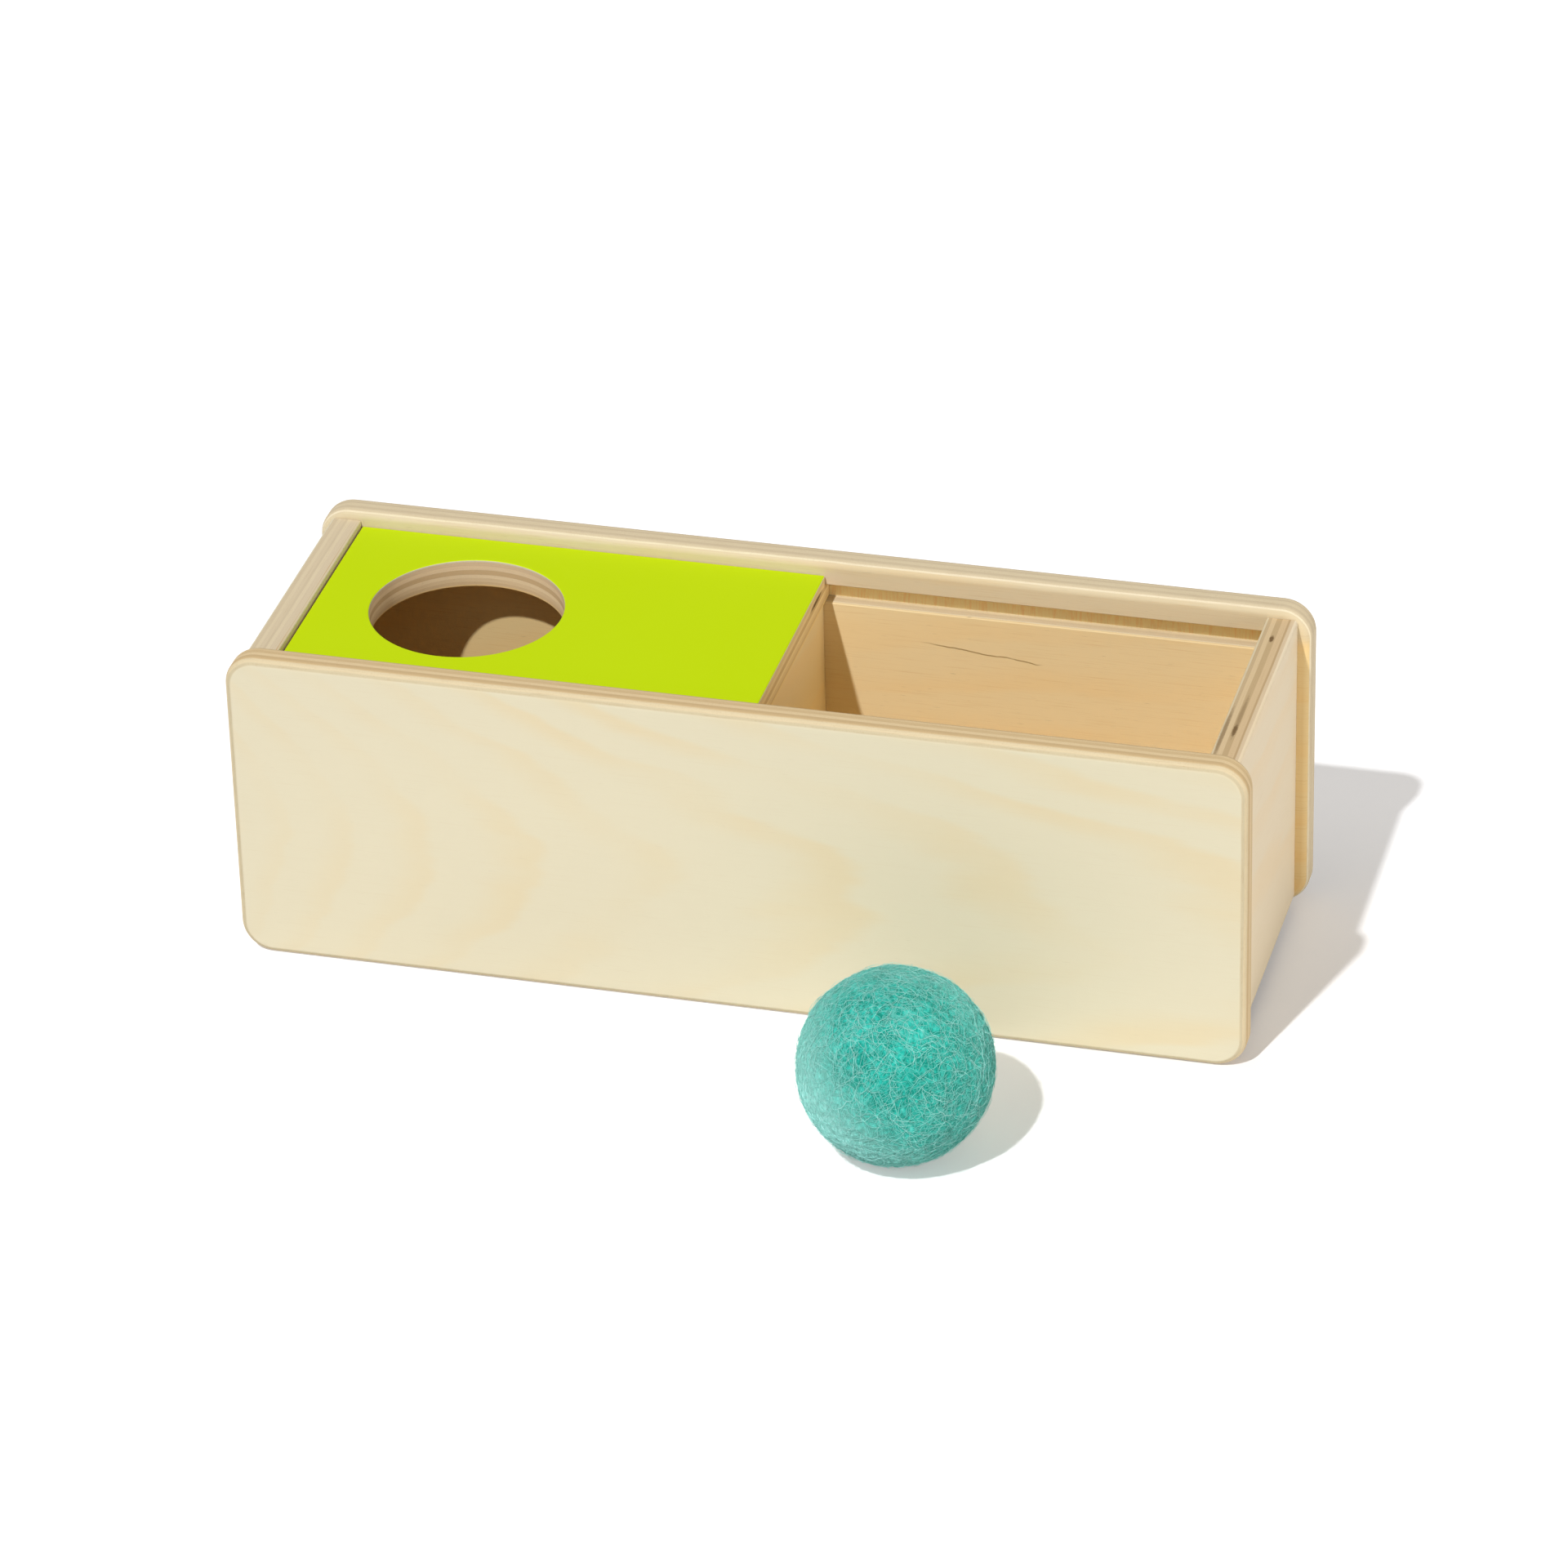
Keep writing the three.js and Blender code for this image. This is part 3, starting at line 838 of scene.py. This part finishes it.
def side_board(name, low, high, inner, inward, holes):
    """A long side with its two stopped grooves. inward is the sign of Y towards the box's middle."""
    board = rounded_board(name, low, high)
    shape = bmesh.new()
    half = RIGHT_LO.x
    grooves = (
        (half, LID_GROOVE, LID_GROOVE_DEPTH),
        (half + FLOOR_GROOVE_DEPTH, FLOOR_GROOVE, FLOOR_GROOVE_DEPTH),
    )
    for reach, (bottom, top), depth in grooves:
        ends = sorted((inner - inward * depth, inner + inward * CUT_MARGIN))
        add_prism(shape, slot_section(reach, bottom, top), ends[0], ends[1], "Y")
    cutter = from_bmesh("groove_cutter", shape)
    carve(board, cutter)
    discard(cutter)
    carve(board, holes)

    def on_lip(edge):
        bottom, top = LID_GROOVE
        inside = all(abs(vert.co.y - inner) < SAME_PLACE for vert in edge.verts)
        near = all(bottom - SAME_PLACE < vert.co.z < top + SAME_PLACE for vert in edge.verts)
        return inside and near and is_corner(edge)

    round_edges(board, GROOVE_LIP_ROUND, on_lip)
    smooth(board)
    return board


def end_board(name, low, high, inner, holes):
    """An end board: a section with a round top and the floor's groove, run across the box."""
    thick = high.x - low.x
    outward = 1.0 if inner == low.x else -1.0
    outer_centre = (thick - END_TOP_ROUND, high.z - END_TOP_ROUND)
    outer_top = arc_points(outer_centre, END_TOP_ROUND, 0.0, SMALL_STEPS)
    inner_centre = (END_INNER_ROUND, high.z - END_INNER_ROUND)
    inner_top = arc_points(inner_centre, END_INNER_ROUND, QUARTER_TURN, SMALL_STEPS)
    notch = [
        (0.0, FLOOR_GROOVE[1]), (FLOOR_GROOVE_DEPTH, FLOOR_GROOVE[1]),
        (FLOOR_GROOVE_DEPTH, FLOOR_GROOVE[0]), (0.0, FLOOR_GROOVE[0]),
    ]
    section = outer_top + inner_top + notch + [(0.0, low.z), (thick, low.z)]
    board = prism(name, [(inner + outward * depth, height) for depth, height in section], low.y, high.y, "Y")
    carve(board, holes)
    smooth(board)
    return board


def divider_board(holes):
    """The cross wall, with a round run over its top edges."""
    low, high = DIVIDER_LO, DIVIDER_HI
    level = high.z - DIVIDER_TOP_ROUND
    right = arc_points((high.x - DIVIDER_TOP_ROUND, level), DIVIDER_TOP_ROUND, 0.0, SMALL_STEPS)
    left = arc_points((low.x + DIVIDER_TOP_ROUND, level), DIVIDER_TOP_ROUND, QUARTER_TURN, SMALL_STEPS)
    section = right + left + [(low.x, low.z), (high.x, low.z)]
    board = prism("divider_board", section, low.y, high.y, "Y")
    carve(board, holes)
    smooth(board)
    return board


def floor_board():
    """The box's thin floor, with its long edges a little round."""
    low, high = (FLOOR_LO.y, FLOOR_LO.z), (FLOOR_HI.y, FLOOR_HI.z)
    section = rounded_outline(low, high, FLOOR_EDGE_ROUND, SMALL_STEPS)
    board = prism("floor_board", section, FLOOR_LO.x, FLOOR_HI.x, "X")
    smooth(board)
    return board


def lid_board():
    """The lid: a stepped section along the box, a round hole, and every edge a little round."""
    face_low = FRONT_HI.y + LID_CLEARANCE
    face_high = BACK_LO.y - LID_CLEARANCE
    shoulder = LID_HI.z - LID_SHOULDER
    section = [
        (LID_LO.y, LID_LO.z), (LID_HI.y, LID_LO.z), (LID_HI.y, shoulder), (face_high, shoulder),
        (face_high, LID_HI.z), (face_low, LID_HI.z), (face_low, shoulder), (LID_LO.y, shoulder),
    ]
    board = prism("painted_lid", section, LID_LO.x, LID_HI.x, "X")
    centre = (LID_LO.x + LID_HOLE_MARGIN + LID_HOLE_RADIUS, (LID_LO.y + LID_HI.y) / 2)
    circle = circle_points(centre, LID_HOLE_RADIUS, HOLE_STEPS)
    cutter = prism("hole_cutter", circle, LID_LO.z - CUT_MARGIN, LID_HI.z + CUT_MARGIN, "Z")
    carve(board, cutter)
    discard(cutter)
    round_edges(board, LID_EDGE_ROUND, is_corner)
    smooth(board)
    return board


def board_looks():
    """The look of each board, built up from the front's.

    seed, heart, bow, origin, spread and wander shape the veneer's arcs. figure, streak and pore are the
    shares of its tones, edge_streak and edge_cell those of the cut edges. Lengths are in millimetres:
    skin and outer_skin are the depths of the inner and outer face veneer, inner_from is the depth where
    the inside's painted light and shade begin, rim_from the height up to which they go, den_from where
    the den ends, and lid_until where the lid ends. The outside's tint is the veneer's own, while the
    inner and den tints are painted light and shade.
    """
    front = {
        "seed": 3.0, "heart": 38.9, "bow": 0.00072, "origin": 200.0, "spread": 3.9, "wander": 1.1,
        "figure": 0.72, "streak": 0.12, "pore": 0.08, "edge_streak": 0.3, "edge_cell": 0.2,
        "thickness": BOARD_MM, "skin": 0.72, "outer_skin": 0.1, "inner_from": BOARD_MM / 2,
        "rim_from": LID_GROOVE[1] * TO_MM, "den_from": DIVIDER_LO.x * TO_MM, "lid_until": LID_HI.x * TO_MM,
        "tint": OUTSIDE_TINT, "inner_painted_light_and_shade": BRIGHT_PAINTED_BOUNCE, "den_painted_shade_tint": DEN_FRONT_PAINTED_SHADE, "grooved": True,
    }
    back = dict(
        front, seed=17.0, heart=140.0, bow=0.0004, spread=1.4, figure=0.6, streak=0.55, pore=0.3,
        outer_skin=0.72, inner_painted_light_and_shade=INSIDE_PAINTED_SHADE, den_painted_shade_tint=DEN_PAINTED_SHADE,
    )
    end = dict(
        back, seed=29.0, heart=0.0, figure=0.5, streak=0.2, pore=0.1, edge_streak=0.2,
        den_from=-FAR_OFF, lid_until=-FAR_OFF, inner_painted_light_and_shade=BRIGHT_PAINTED_BOUNCE, grooved=False,
    )
    flat = dict(back, seed=61.0, rim_from=FAR_OFF, inner_painted_light_and_shade=BRIGHT_PAINTED_BOUNCE, grooved=False)
    return {
        "front": front,
        "back": back,
        "left": dict(end, inner_painted_light_and_shade=DEN_FRONT_PAINTED_SHADE),
        # The right end's outer face gets painted light, as it lies in shade.
        "right": dict(end, seed=41.0, tint=SHADED_END_PAINTED_LIGHT),
        # The divider's faces get painted light, as they lie in shade.
        "divider": dict(end, seed=53.0, inner_from=-FAR_OFF, inner_painted_light_and_shade=DIVIDER_PAINTED_LIGHT),
        "floor": dict(flat, thickness=FLOOR_MM, inner_from=FLOOR_MM / 2),
        "lid": dict(flat, seed=71.0, edge_streak=0.24, edge_cell=0.16, den_painted_shade_tint=DEN_FRONT_PAINTED_SHADE),
    }


def make_boards():
    """The box's boards and the lid with their finishes, and the dowels' wood."""
    holes = dowel_cutter()
    front = side_board("front_board", FRONT_LO, FRONT_HI, FRONT_HI.y, 1.0, holes)
    back = side_board("back_board", BACK_LO, BACK_HI, BACK_LO.y, -1.0, holes)
    left = end_board("left_end_board", LEFT_LO, LEFT_HI, LEFT_HI.x, holes)
    right = end_board("right_end_board", RIGHT_LO, RIGHT_HI, RIGHT_LO.x, holes)
    divider = divider_board(holes)
    discard(holes)
    looks = board_looks()
    front_ply = plywood("front_ply", (*SIDE_AXES, FRONT_LO.y, 1.0), FRONT_PLIES, looks["front"])
    back_ply = plywood("back_ply", (*SIDE_AXES, BACK_HI.y, -1.0), BACK_PLIES, looks["back"], crack=BACK_CRACK)
    left_ply = plywood("left_end_ply", (*END_AXES, LEFT_LO.x, 1.0), LEFT_PLIES, looks["left"])
    right_space = (*END_AXES, RIGHT_HI.x, -1.0)
    right_ply = plywood("right_end_ply", right_space, RIGHT_PLIES, looks["right"], END_KNOTS)
    divider_ply = plywood("divider_ply", (*END_AXES, DIVIDER_LO.x, 1.0), LEFT_PLIES, looks["divider"])
    floor_ply = plywood("floor_ply", (*FLAT_AXES, FLOOR_LO.z, 1.0), FLOOR_PLIES, looks["floor"])
    finish_piece(front, front_ply, "birch_ply", "box", "front_panel")
    finish_piece(back, back_ply, "birch_ply", "box", "back_panel")
    finish_piece(left, left_ply, "birch_ply", "box", "left_end_panel")
    finish_piece(right, right_ply, "birch_ply", "box", "right_end_panel")
    finish_piece(divider, divider_ply, "birch_ply", "box", "divider")
    finish_piece(floor_board(), floor_ply, "birch_ply", "box", "floor_panel")
    lid_finish = lime_lid_finish((*FLAT_AXES, LID_HI.z, -1.0), looks["lid"])
    finish_piece(lid_board(), lid_finish, "lime_lid", "lid", "lid")
    beech = beech_finish()
    for name in DOWELS:
        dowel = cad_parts[name]
        dowel.data.materials.clear()
        dowel.data.materials.append(beech)


# The felt ball


def felt_core():
    """The ball's body: a sphere with soft lumps and felted tufts, flat where it stands."""
    shape = bmesh.new()
    bmesh.ops.create_icosphere(shape, subdivisions=FELT_STEPS, radius=1.0)
    for vert in shape.verts:
        way = vert.co.normalized()
        lump = noise.noise(way * BALL_RADIUS / LUMP_SIZE)
        tuft = noise.turbulence(way * BALL_RADIUS / TUFT_SIZE, TUFT_DETAIL, False)
        reach = BALL_RADIUS + LUMP_HEIGHT * lump + TUFT_HEIGHT * (tuft - 0.5)
        vert.co = BALL_CENTRE + BALL_SHIFT + way * reach
        vert.co.z = max(vert.co.z * BALL_STRETCH, 0.0)
    for face in shape.faces:
        face.smooth = True
    return from_bmesh("felt_core", shape)


def scatter_fibres(tree, given):
    """Straight curves at random places and turns on the surface, each with its own tone."""
    scatter = tree.add("GeometryNodeDistributePointsOnFaces", {
        "Mesh": given["Geometry"], "Density": given["Density"], "Seed": given["Seed"],
    }).outputs
    spin = tree.add("FunctionNodeRandomValue", {
        "Min": 0.0, "Max": FULL_TURN, "Seed": SPIN_SEED,
    }, data_type="FLOAT").outputs["Value"]
    turn = tree.put("FunctionNodeAxisAngleToRotation", {"Angle": spin})
    spun = tree.put("FunctionNodeRotateRotation", {
        "Rotation": scatter["Rotation"], "Rotate By": turn,
    }, rotation_space="LOCAL")
    half = tree.math("MULTIPLY", given["Length"], 0.5)
    start = tree.combine(tree.math("MULTIPLY", half, -1.0), 0.0, 0.0)
    line = tree.put("GeometryNodeCurvePrimitiveLine", {"Start": start, "End": tree.combine(half, 0.0, 0.0)})
    fibre = tree.put("GeometryNodeResampleCurve", {"Curve": line, "Count": FIBRE_POINTS})
    fibres = tree.put("GeometryNodeInstanceOnPoints", {
        "Points": scatter["Points"], "Instance": fibre, "Rotation": spun,
    })
    tone = tree.add("FunctionNodeRandomValue", {"Seed": TONE_SEED}, data_type="FLOAT").outputs["Value"]
    toned = tree.put("GeometryNodeStoreNamedAttribute", {
        "Geometry": fibres, "Name": FIBRE_TONE, "Value": tone,
    }, data_type="FLOAT", domain="INSTANCE")
    return tree.put("GeometryNodeRealizeInstances", {"Geometry": toned})


def seat_fibres(tree, given, fibres):
    """Curl the curves and lay them on the surface. The loose ones bow up from it."""
    tone = tree.put("GeometryNodeInputNamedAttribute", {"Name": FIBRE_TONE}, data_type="FLOAT")
    wander = tree.add("ShaderNodeTexNoise", {
        "Vector": tree.put("GeometryNodeInputPosition"), "W": tree.math("MULTIPLY", tone, CURL_SPREAD),
        "Scale": CURL_SCALE, "Detail": 1.0,
    }, noise_dimensions="4D").outputs["Color"]
    push = tree.scaled(tree.vector_math("SUBTRACT", wander, (0.5, 0.5, 0.5)), given["Curl"])
    curled = tree.put("GeometryNodeSetPosition", {"Geometry": fibres, "Offset": push})
    near = tree.add(
        "GeometryNodeProximity", {"Geometry": given["Geometry"]}, target_element="FACES",
    ).outputs["Position"]
    outward = tree.vector_math("NORMALIZE", tree.vector_math("SUBTRACT", near, BALL_CENTRE))
    loose = tree.math("MULTIPLY", tree.math("POWER", tone, LOOSE_POWER), given["Loose lift"])
    along = tree.add("GeometryNodeSplineParameter").outputs["Factor"]
    bow = tree.math("SINE", tree.math("MULTIPLY", along, math.pi))
    lift = tree.math("ADD", given["Lift"], tree.math("MULTIPLY", loose, bow))
    seat = tree.vector_math("ADD", near, tree.scaled(outward, lift))
    lowest = tree.combine(FAR_BACK, FAR_BACK, tree.math("MULTIPLY", given["Radius"], REST_HEIGHT))
    laid = tree.put("GeometryNodeSetPosition", {
        "Geometry": curled, "Position": tree.vector_math("MAXIMUM", seat, lowest),
    })
    inward = tree.vector_math("MULTIPLY", outward, (-1.0, -1.0, -1.0))
    return tree.put("GeometryNodeSetCurveNormal", {"Curve": laid, "Normal": inward}, mode="FREE")


def fibre_tree(name, material, values):
    """Geometry nodes that lay curled wool fibres on a surface, each a thin closed tube."""
    group = bpy.data.node_groups.new(name, "GeometryNodeTree")
    group.interface.new_socket("Geometry", in_out="INPUT", socket_type="NodeSocketGeometry")
    sockets = {}
    for key, value in values.items():
        kind = "NodeSocketInt" if isinstance(value, int) else "NodeSocketFloat"
        sockets[key] = group.interface.new_socket(key, in_out="INPUT", socket_type=kind).identifier
    group.interface.new_socket("Geometry", in_out="OUTPUT", socket_type="NodeSocketGeometry")
    tree = Tree(group)
    given = tree.add("NodeGroupInput").outputs
    seated = seat_fibres(tree, given, scatter_fibres(tree, given))
    profile = tree.put("GeometryNodeCurvePrimitiveCircle", {
        "Resolution": FIBRE_SIDES, "Radius": given["Radius"],
    })
    tubes = tree.put("GeometryNodeCurveToMesh", {
        "Curve": seated, "Profile Curve": profile, "Fill Caps": True,
    })
    whole = tree.put("GeometryNodeRealizeInstances", {"Geometry": tubes})
    dressed = tree.put("GeometryNodeSetMaterial", {"Geometry": whole, "Material": material})
    tree.add("NodeGroupOutput", {0: dressed})
    return group, sockets


def lay_fibres(name, core, material, values):
    """A layer of fibres on the ball's body, as a mesh of its own."""
    group, sockets = fibre_tree(name, material, values)
    layer = new_object(name, core.data.copy())
    growth = layer.modifiers.new("fibres", "NODES")
    growth.node_group = group
    for key, value in values.items():
        growth[sockets[key]] = value
    settle(layer)
    return layer


def make_ball():
    """The felt ball: its body, a close web of fibres and a thin loose fuzz."""
    core = felt_core()
    body = felt_finish("wool_body", 0.0, FELT_MID, FELT_LIGHT)
    strands = felt_finish("wool_strands", 0.7, FELT_MID, FELT_LIGHT)
    down = felt_finish("wool_down", 0.9, FELT_SOFT, FELT_PALE)
    web = lay_fibres("felt_web", core, strands, WEB_FIBRES)
    fuzz = lay_fibres("felt_fuzz", core, down, FUZZ_FIBRES)
    finish_piece(core, body, "wool_felt", "ball", "felt_ball")
    finish_piece(web, strands, "wool_felt", "ball")
    finish_piece(fuzz, down, "wool_felt", "ball")


# Floor, light and camera


def make_floor():
    """A pale matt floor. What the camera sees of it glows a little, and more so further from the box: painted
    light that leaves the box's shadow darker near it.
    """
    half = FLOOR_SPAN / 2
    section = [(-half, -half), (half, -half), (half, half), (-half, half)]
    floor = prism("studio_floor", section, -FLOOR_DEPTH, 0.0, "Z")
    material, tree, shader = new_material("pale_floor")
    path = tree.add("ShaderNodeLightPath").outputs
    mirrored = tree.math("MAXIMUM", path["Is Glossy Ray"], path["Is Transmission Ray"])
    seen = tree.math("MAXIMUM", path["Is Camera Ray"], mirrored)
    # Painted light: the glow is weaker near the box, so the shadow there stays darker.
    distance = tree.measure("LENGTH", tree.vector_math("SUBTRACT", tree.place(), GLOW_CENTRE))
    spread = tree.step(distance, *GLOW_REACH)
    glow = tree.math("MULTIPLY_ADD", spread, FLOOR_GLOW_FAR - FLOOR_GLOW, FLOOR_GLOW)
    tree.feed(shader, {
        "Base Color": FLOOR_GREY,
        "Roughness": FLOOR_ROUGH,
        "Specular IOR Level": 0.0,
        "Emission Color": FLOOR_GLOW_COLOUR,
        "Emission Strength": tree.math("MULTIPLY", seen, glow),
    })
    floor.data.materials.append(material)


def aim_at(thing, direction):
    """Turn a lamp so that it shines in a direction."""
    thing.rotation_euler = direction.to_track_quat("-Z", "Y").to_euler()


def make_light():
    key = bpy.data.lights.new("key", "SUN")
    key.energy = KEY_STRENGTH
    key.angle = KEY_SPREAD
    aim_at(new_object("key", key), KEY_DIRECTION)
    fill = bpy.data.lights.new("fill", "AREA")
    fill.energy = FILL_POWER
    fill.color = FILL_COLOUR
    fill.shape = "RECTANGLE"
    fill.size, fill.size_y = FILL_SIZE
    lamp = new_object("fill", fill)
    lamp.location = FILL_PLACE
    aim_at(lamp, -FILL_PLACE)
    world = bpy.data.worlds.new("surround")
    world.use_nodes = True
    background = world.node_tree.nodes["Background"]
    background.inputs["Color"].default_value = SURROUND_COLOUR
    background.inputs["Strength"].default_value = SURROUND
    bpy.context.scene.world = world


def make_camera():
    data = bpy.data.cameras.new("camera")
    data.lens = LENS
    data.sensor_width = SENSOR
    camera = new_object("camera", data)
    camera.location = EYE
    aim = (AIM - EYE).to_track_quat("-Z", "Y")
    camera.rotation_euler = (aim @ Quaternion((0.0, 0.0, 1.0), ROLL)).to_euler()
    bpy.context.scene.camera = camera


bpy.context.scene.view_settings.view_transform = "Standard"
make_camera()
make_floor()
make_light()
make_boards()
make_ball()
